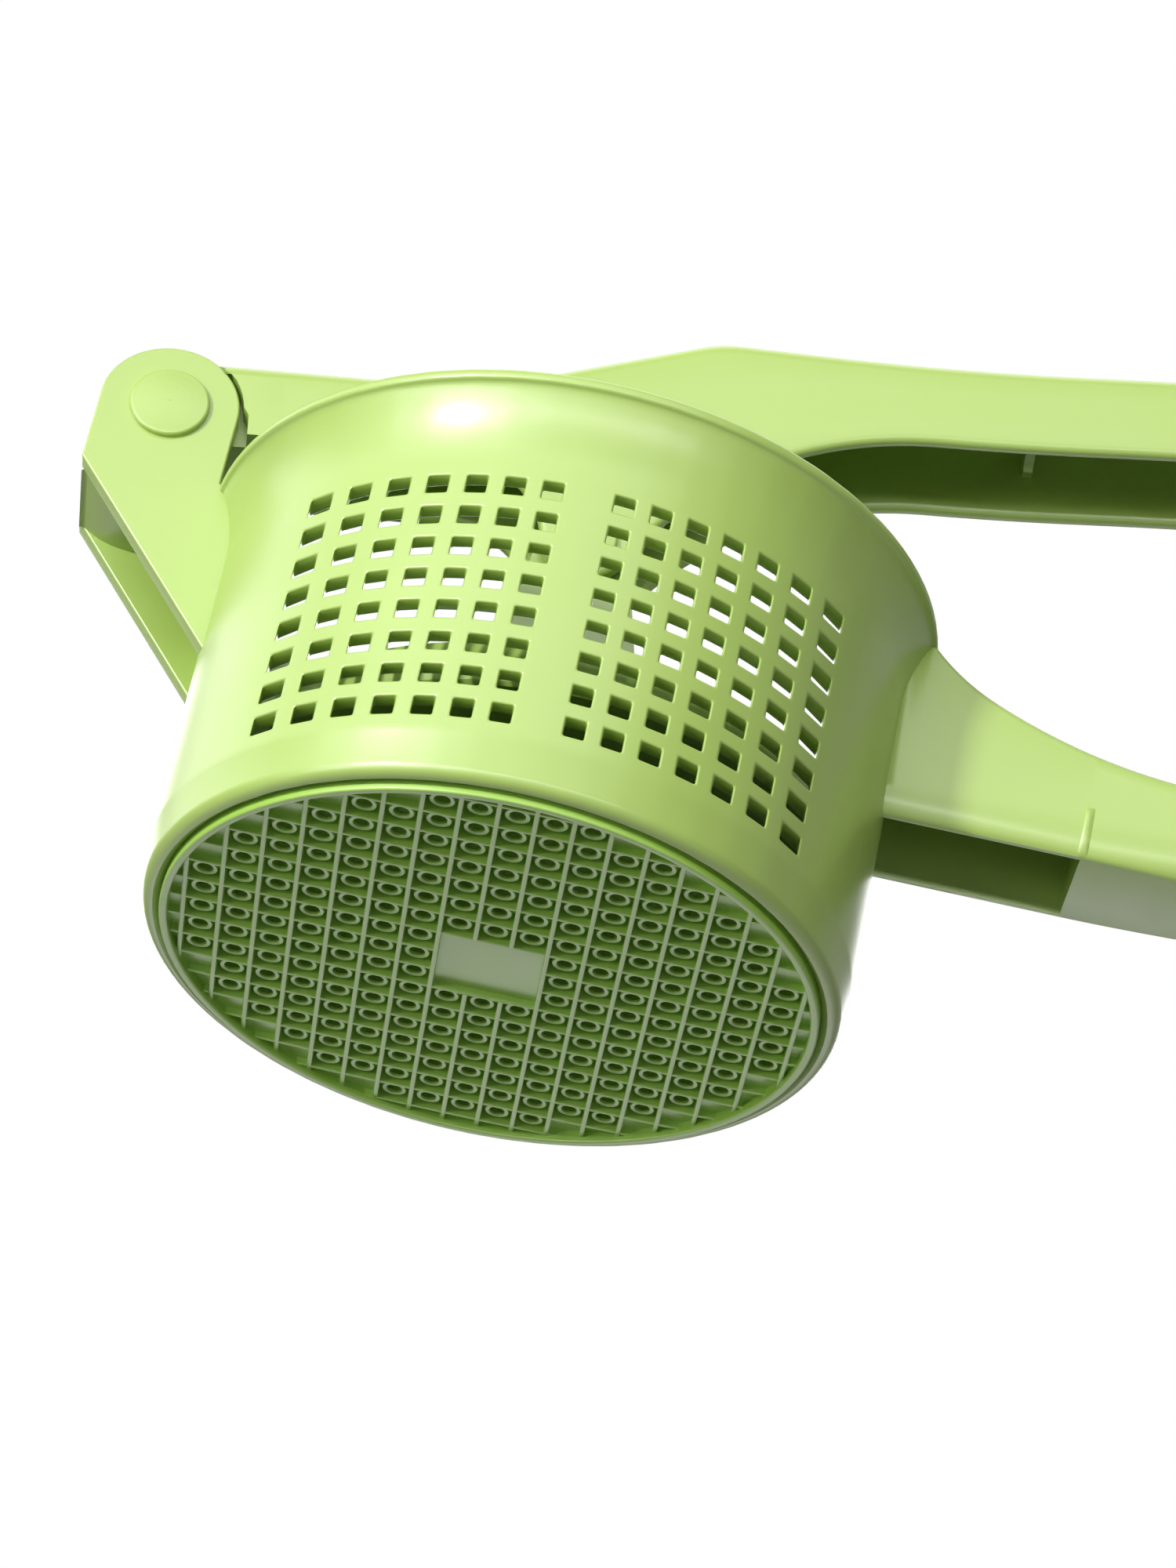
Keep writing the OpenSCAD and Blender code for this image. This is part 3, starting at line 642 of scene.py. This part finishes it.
def under_line():
    """The lower edge from the side, as (x, z): arm, scoop, round the lug, sweep, saddle and palm."""
    scoop_x = LUG[0] - LUG_R - SCOOP_R
    line = [(SHOULDER_END + (scoop_x - SHOULDER_END) * i / 6, ARM_LOW) for i in range(6)]
    line += arc(scoop_x, LUG[1], SCOOP_R, 90, 0, 14)
    turn = math.degrees(math.atan2(LUG[1] - SWEEP[1], SWEEP[0] - LUG[0]))
    line += arc(*LUG, LUG_R, 180, 360 - turn, 22)[1:]
    line += arc(*SWEEP, SWEEP_R, 180 - turn, 90, 26)[1:]
    x = line[-1][0] + STATION_STEP
    while x < LEVER_END - ARM - 1:
        line.append((x, lever_low(x)))
        x += STATION_STEP
    return line


def shell_section():
    """The shell's section: out over the top, down the side, round the lower edge and up the inside,
    as (depth, kind, k). Depth runs inwards from the plan's edge. k is a height from the top line
    for "top" and from the lower edge for "low", and a share of the side for "side" and "inner"."""
    section = [(depth, "top", 0) for depth in (ARM, 8.2, 6.4, 4.6, 3.2, LEVER_EDGE)]
    section += [(d, "top", z) for d, z in arc(LEVER_EDGE, -LEVER_EDGE, LEVER_EDGE, 105, 180, 5)]
    section += [(0, "side", k) for k in (0.75, 0.5, 0.25, 0)]
    section += [(LIP - LIP * cosd(a), "low", LIP - LIP * sind(a))
                for a in (22, 45, 67, 90, 112, 135, 158)]
    section += [(ARM_WALL, "side", 0), (ARM_WALL, "inner", 0.5)]
    section += [(d, "top", z) for d, z in arc(ARM_WALL + ROOF_ROUND, -LEVER_ROOF - ROOF_ROUND,
                                              ROOF_ROUND, 180, 90, 3)]
    return section + [(depth, "top", -LEVER_ROOF) for depth in (4.6, 6.4, 8.2, ARM)]


def shell_height(x, kind, k, foot):
    if kind == "top":
        return lever_top(x) + k
    drop = LEVER_EDGE if kind == "side" else LEVER_ROOF + ROOF_ROUND
    return foot + (lever_top(x) - drop - foot) * k


def straight_rows(section, side):
    """Rows along one side. (mx, mz) points from the lower edge into the lever."""
    line = under_line()
    rows = []
    for before, (x, z), after in zip(line[:1] + line, line, line[1:] + line[-1:]):
        run, rise = after[0] - before[0], after[1] - before[1]
        mx, mz = -rise / math.hypot(run, rise), run / math.hypot(run, rise)
        edge_x, edge_z = x + mx * LIP, z + mz * LIP
        row = []
        for depth, kind, k in section:
            y = side * (ARM - depth)
            if kind == "low":
                row.append((x + mx * k, y, z + mz * k))
            else:
                row.append((edge_x, y, shell_height(edge_x, kind, k, edge_z)))
        rows.append(row)
    return rows


def tip_rows(section, steps=28):
    """Rows round the lever's end, from the near side to the far side."""
    rows = []
    for i in range(steps + 1):
        a = -90 + 180 * i / steps
        row = []
        for depth, kind, k in section:
            x = LEVER_END - ARM + (ARM - depth) * cosd(a)
            low = lever_low(x)
            z = low + k if kind == "low" else shell_height(x, kind, k, low + LIP)
            row.append((x, (ARM - depth) * sind(a), z))
        rows.append(row)
    return rows


def lever_shell():
    """The channel-shaped body of the lever, open below."""
    s = Shape()
    section = shell_section()
    far = straight_rows(section, 1)
    s.capped_skin(straight_rows(section, -1) + tip_rows(section) + far[::-1])
    lever_piece("lever_shell", s)


def lever_shoulder():
    """The solid block in front of the ears, hollowed to run round them."""
    s = Shape()
    outline = [(11.3, ARM_LOW), (11.3, -0.8), (11.1, -0.3)]
    outline += [(math.sqrt(10.6 ** 2 - z * z), z) for z in (0.6, 1.6, 2.8, 4, 5.2, 6.4, 7.5)]
    outline += [(6.2, ARM_TOP), (SHOULDER_END, ARM_TOP), (SHOULDER_END, ARM_LOW)]
    edge = arc(ARM - LEVER_EDGE, ARM_TOP - LEVER_EDGE, LEVER_EDGE, 0, 90, 6)
    crown = [(-y, top) for y, top in edge] + edge[::-1]
    s.capped_skin([[(x, y, min(z, top)) for x, z in outline] for y, top in crown], closed=True)
    lever_piece("lever_shoulder", s)


def lever_tongue():
    """The round-ended block between the ears, on the hinge pin."""
    s = Shape()
    outline = [(TONGUE_END, ARM_LOW)] + arc(0, 0, TONGUE_R, -26.4, -287.2, 48)
    s.prism(outline + [(TONGUE_END, ARM_TOP)], -TONGUE_HALF, TONGUE_HALF, sideways)
    lever_piece("lever_tongue", s, bevel=0.3)


def lever_ribs():
    """Cross ribs inside the channel, each with a shallow arch below."""
    s = Shape()
    for x in LEVER_RIBS:
        low, high = lever_low(x), lever_top(x) - RIB_TOP_DROP
        shoulder, spring = low + RIB_SHOULDER, low + RIB_SPRING
        arch = [(y, spring + z * RIB_ARCH_SHARE) for y, z in arc(0, 0, RIB_ARCH_R, 170, 10, 16)]
        outline = [(-RIB_HALF, high), (-RIB_HALF, shoulder)] + arch
        outline += [(RIB_HALF, shoulder), (RIB_HALF, high)]
        s.prism(outline, x, x + LEVER_RIB, endways)
    lever_piece("lever_ribs", s, bevel=0.2)


# ---- sieve ----

PITCH, FIELD = 5.0, 8
SHEET_LOW, SHEET_TOP = 3.2, 4.8
PLATE_LOW, RIB_TOP = 1.85, 3.25
RING_IN = 44.5
RING_CIRCLE = [(RING_IN * x, RING_IN * y) for x, y in circle(120)]
PLATE_GAP, PATCH_INSET, PATCH_SINK, RIB_SINK = 0.2, 0.1, 1.005, 0.3
ACROSS_SHARE, ACROSS_RAISE = 0.8, 0.04
COLLAR_STEPS, RING_STEPS = 24, 160
# (r, z) from the sheet down the collar's outside, round its mouth and up the bore
COLLAR = ((2.0, 3.2), (1.87, 3.13), (1.8, 2.95), (1.78, 1.72), (1.74, 1.6), (1.64, 1.53), (1.22, 1.53),
          (1.13, 1.58), (1.08, 1.7), (1.08, 2.0), (1.45, 2.3), (1.45, 4.65), (1.6, 4.8))
RIB = ((-0.4, RIB_TOP), (-0.36, 1.0), (-0.31, 0.86), (-0.2, 0.8), (0.2, 0.8), (0.31, 0.86),
       (0.36, 1.0), (0.4, RIB_TOP))


def is_plate(a, b):
    """Whether the cell in column a and row b lies under the plain plate in the middle."""
    return abs(a) <= 1 and abs(b) <= 1


def is_hole(a, b):
    return not is_plate(a, b) and PITCH * math.hypot(a, b) <= RING_IN - 0.6 * PITCH


CELLS = [(a, b) for a in range(-FIELD - 1, FIELD + 2) for b in range(-FIELD - 1, FIELD + 2)]
PLAIN_CELLS = [c for c in CELLS if not is_hole(*c)]


def cell(a, b, inset=0.0):
    """The corners of a cell, anticlockwise from the lower left."""
    x, y, h = a * PITCH, b * PITCH, PITCH / 2 - inset
    return [(x - h, y - h), (x + h, y - h), (x + h, y + h), (x - h, y + h)]


def left_of(a, b, p):
    """Positive where p lies to the left of the line from a to b."""
    return (b[0] - a[0]) * (p[1] - a[1]) - (b[1] - a[1]) * (p[0] - a[0])


def clipped(poly, ring):
    """The part of a convex polygon inside a convex ring, both anticlockwise."""
    for a, b in zip(ring, ring[1:] + ring[:1]):
        left = [left_of(a, b, p) for p in poly]
        inside = [f >= -1e-9 for f in left]
        kept = []
        for i, p in enumerate(poly):
            j = (i + 1) % len(poly)
            if inside[i]:
                kept.append(p)
            if inside[i] != inside[j]:
                t = left[i] / (left[i] - left[j])
                kept.append((p[0] + (poly[j][0] - p[0]) * t, p[1] + (poly[j][1] - p[1]) * t))
        poly = kept
        if len(poly) < 3:
            return []
    return poly


def sieve_sheet():
    """The sheet with its holes, and the collar round each of them."""
    s = Shape()
    turn = circle(COLLAR_STEPS, 0.5)
    for a, b in CELLS:
        if is_hole(a, b):
            x, y = a * PITCH, b * PITCH
            rings = s.skin([[(x + r * u, y + r * v, z) for u, v in turn] for r, z in COLLAR], True)
            for ring, z in ((rings[0], SHEET_LOW), (rings[-1], SHEET_TOP)):
                corners = s.row([(u, v, z) for u, v in cell(a, b)])
                s.around(ring, corners[2:] + corners[:2])
    for a, b in PLAIN_CELLS:
        poly = clipped(cell(a, b), RING_CIRCLE)
        if poly:
            low = s.row([(u, v, SHEET_LOW) for u, v in poly])
            high = s.row([(u, v, SHEET_TOP) for u, v in poly])
            s.face(*low)
            s.face(*high)
            rim = [math.hypot(u, v) > RING_IN - 0.1 for u, v in poly]
            for i in range(len(poly)):
                j = (i + 1) % len(poly)
                if rim[i] and rim[j]:
                    s.face(low[i], low[j], high[j], high[i])
    sieve_piece("sieve_sheet", s)


def sieve_ribs():
    """The square grid. Its ribs across are slimmer and lie a hair higher where they cross."""
    s = Shape()
    across = [(u * ACROSS_SHARE, v + ACROSS_RAISE) for u, v in RIB]
    for i in range(-FIELD - 1, FIELD + 1):
        centre = (i + 0.5) * PITCH
        reach = math.sqrt((RING_IN + RIB_SINK) ** 2 - centre ** 2)
        runs = [(-reach, reach)]
        if abs(centre) < PITCH:
            runs = [(-reach, -1.5 * PITCH), (1.5 * PITCH, reach)]
        for low, high in runs:
            s.prism([(centre + u, v) for u, v in RIB], low, high, sideways)
            s.prism([(centre + u, v) for u, v in across], low, high, endways)
    sieve_piece("sieve_ribs", s)


def sieve_plate():
    """The plain plate in the middle."""
    s = Shape()
    half = 1.5 * PITCH - PLATE_GAP
    s.prism([(-half, -half), (half, -half), (half, half), (-half, half)], PLATE_LOW, RIB_TOP, flat)
    sieve_piece("sieve_plate", s, bevel=0.12)


def sieve_patches():
    """The filled cells along the ring."""
    s = Shape()
    ring = [(u * PATCH_SINK, v * PATCH_SINK) for u, v in RING_CIRCLE]
    for a, b in PLAIN_CELLS:
        poly = [] if is_plate(a, b) else clipped(cell(a, b, PATCH_INSET), ring)
        if poly:
            s.prism(poly, PLATE_LOW, RIB_TOP, flat)
    sieve_piece("sieve_patches", s)


def sieve_ring():
    """The foot ring with its round edge, and the rim of the sheet that rests on the cup's ledge."""
    s = Shape()
    section = [(46.3, SHEET_LOW), (46.3, SHEET_TOP), (44.3, SHEET_TOP), (44.3, SHEET_LOW),
               (RING_IN, 3.1), (RING_IN, 0.35)]
    section += arc(44.85, 0.35, 0.35, 190, 270, 5) + arc(45.35, 0.35, 0.35, 270, 350, 5)
    section += [(45.7, 0.5), (45.7, SHEET_LOW)]
    turn = circle(RING_STEPS)
    s.skin([[(r * u, r * v, z) for u, v in turn] for r, z in section], closed=True, round_way=True)
    sieve_piece("sieve_ring", s)


cup_wall()
ears()
ear_web()
grip_pocket()
grip_channel()
grip_end_wall()
grip_bead()
grip_ribs()
lever_shell()
lever_shoulder()
lever_tongue()
lever_ribs()
sieve_sheet()
sieve_ribs()
sieve_plate()
sieve_patches()
sieve_ring()


# ---- camera: it looks up at the ricer from below and in front, and leans to one side ----

EYE = Vector((-0.05499, -0.60408, -0.34336))
ELEVATION, AZIMUTH, ROLL = 31.97, -0.215, 12.403
LENS, SENSOR = 117.2322, 36


def camera():
    ahead = Vector((sind(AZIMUTH) * cosd(ELEVATION), cosd(AZIMUTH) * cosd(ELEVATION), sind(ELEVATION)))
    right = ahead.cross(Vector((0, 0, 1))).normalized()
    up = right.cross(ahead)
    side = cosd(ROLL) * right + sind(ROLL) * up
    top = cosd(ROLL) * up - sind(ROLL) * right
    data = bpy.data.cameras.new("camera")
    data.sensor_fit = "AUTO"
    data.sensor_width = SENSOR
    data.lens = LENS
    data.clip_start = 0.01
    obj = bpy.data.objects.new("camera", data)
    obj.matrix_world = Matrix.Translation(EYE) @ Matrix((side, top, -ahead)).transposed().to_4x4()
    scene.collection.objects.link(obj)
    scene.camera = obj


# ---- world, floor and lamps ----

SOFT_LIGHT, WORLD_GLOSS = 0.16, 0.35
FLOOR_Z, FLOOR_SIZE = -0.46, 60
FLOOR_BOUNCE, FLOOR_WHITE = 0.07, 0.86
FLOOR_GLOW, FLOOR_PALE = 0.97, 0.85
CENTRE = (-0.05, 0, 0.06)


def studio_world():
    """White to the camera, partly white in reflections, and a soft light for everything else."""
    world = bpy.data.worlds.new("studio")
    scene.world = world
    world.use_nodes = True
    tree = world.node_tree
    link = tree.links.new
    tree.nodes.clear()
    out = add_node(tree, "ShaderNodeOutputWorld")
    path = add_node(tree, "ShaderNodeLightPath")
    soft = add_node(tree, "ShaderNodeBackground", {"Color": (0.95, 0.97, 1, 1), "Strength": SOFT_LIGHT})
    white = add_node(tree, "ShaderNodeBackground", {"Color": (1, 1, 1, 1), "Strength": 1.0})
    mix = add_node(tree, "ShaderNodeMixShader")
    share = add_node(tree, "ShaderNodeMath", {1: WORLD_GLOSS}, "MULTIPLY_ADD")
    link(path.outputs["Is Camera Ray"], share.inputs[2])
    link(path.outputs["Is Glossy Ray"], share.inputs[0])
    link(share.outputs[0], mix.inputs["Fac"])
    link(soft.outputs[0], mix.inputs[1])
    link(white.outputs[0], mix.inputs[2])
    link(mix.outputs[0], out.inputs["Surface"])


def floor_material():
    """Pale to the camera and in reflections, and dimmer in the light that it throws back up."""
    mat = bpy.data.materials.new("floor")
    mat.use_nodes = True
    tree = mat.node_tree
    link = tree.links.new
    bsdf = tree.nodes["Principled BSDF"]
    bsdf.inputs["Roughness"].default_value = 0.9
    path = add_node(tree, "ShaderNodeLightPath")
    seen = add_node(tree, "ShaderNodeMath", operation="MAXIMUM")
    link(path.outputs["Is Camera Ray"], seen.inputs[0])
    link(path.outputs["Is Glossy Ray"], seen.inputs[1])
    shade = add_node(tree, "ShaderNodeValToRGB")
    for element, grey in zip(shade.color_ramp.elements, (FLOOR_BOUNCE, FLOOR_WHITE)):
        element.color = (grey, grey, grey, 1)
    link(seen.outputs[0], shade.inputs["Fac"])
    link(shade.outputs["Color"], bsdf.inputs["Base Color"])
    glow = add_node(tree, "ShaderNodeEmission", {"Strength": FLOOR_GLOW})
    share = add_node(tree, "ShaderNodeMath", {1: FLOOR_PALE}, "MULTIPLY")
    mix = add_node(tree, "ShaderNodeMixShader")
    link(path.outputs["Is Camera Ray"], share.inputs[0])
    link(share.outputs[0], mix.inputs["Fac"])
    link(bsdf.outputs["BSDF"], mix.inputs[1])
    link(glow.outputs[0], mix.inputs[2])
    link(mix.outputs[0], tree.nodes["Material Output"].inputs["Surface"])
    return mat


def floor():
    bpy.ops.mesh.primitive_plane_add(size=FLOOR_SIZE, location=(0, 0, FLOOR_Z))
    obj = bpy.context.object
    obj.name = "floor"
    obj.data.materials.append(floor_material())


def aside(azimuth, elevation, distance):
    """A place round the ricer: azimuth 0 is in front, at the camera's side, and -90 is to the left."""
    return (CENTRE[0] + distance * sind(azimuth) * cosd(elevation),
            CENTRE[1] - distance * cosd(azimuth) * cosd(elevation),
            CENTRE[2] + distance * sind(elevation))


def lamp(name, place, size, watts):
    """A panel of light that looks at the ricer's middle."""
    data = bpy.data.lights.new(name, "AREA")
    data.shape = "RECTANGLE"
    data.size, data.size_y = size
    data.energy = watts
    obj = bpy.data.objects.new(name, data)
    scene.collection.objects.link(obj)
    obj.location = place
    obj.visible_camera = False
    obj.rotation_euler = (Vector(CENTRE) - Vector(place)).to_track_quat("-Z", "Y").to_euler()


camera()
studio_world()
floor()
lamp("key", aside(-43, 5, 3.0), (0.26, 0.26), 76)
lamp("panel_front", aside(-4, 33, 2.4), (2.2, 0.7), 15)
lamp("panel_left", aside(-58, 32, 2.4), (2.0, 0.7), 7.5)
lamp("panel_back", aside(-112, 28, 2.0), (1.6, 0.8), 8)
lamp("low_left", aside(-50, -16, 1.6), (1.0, 0.3), 6)
lamp("glint", aside(-3, -2, 1.6), (1.8, 0.12), 12)
lamp("under", aside(176, -31, 0.85), (0.8, 0.3), 0.9)
lamp("back", aside(183, 28, 2.4), (2.0, 1.0), 26)
lamp("top", (0, 0.2, 1.5), (1.2, 1.2), 6)
scene.view_settings.view_transform = "Standard"
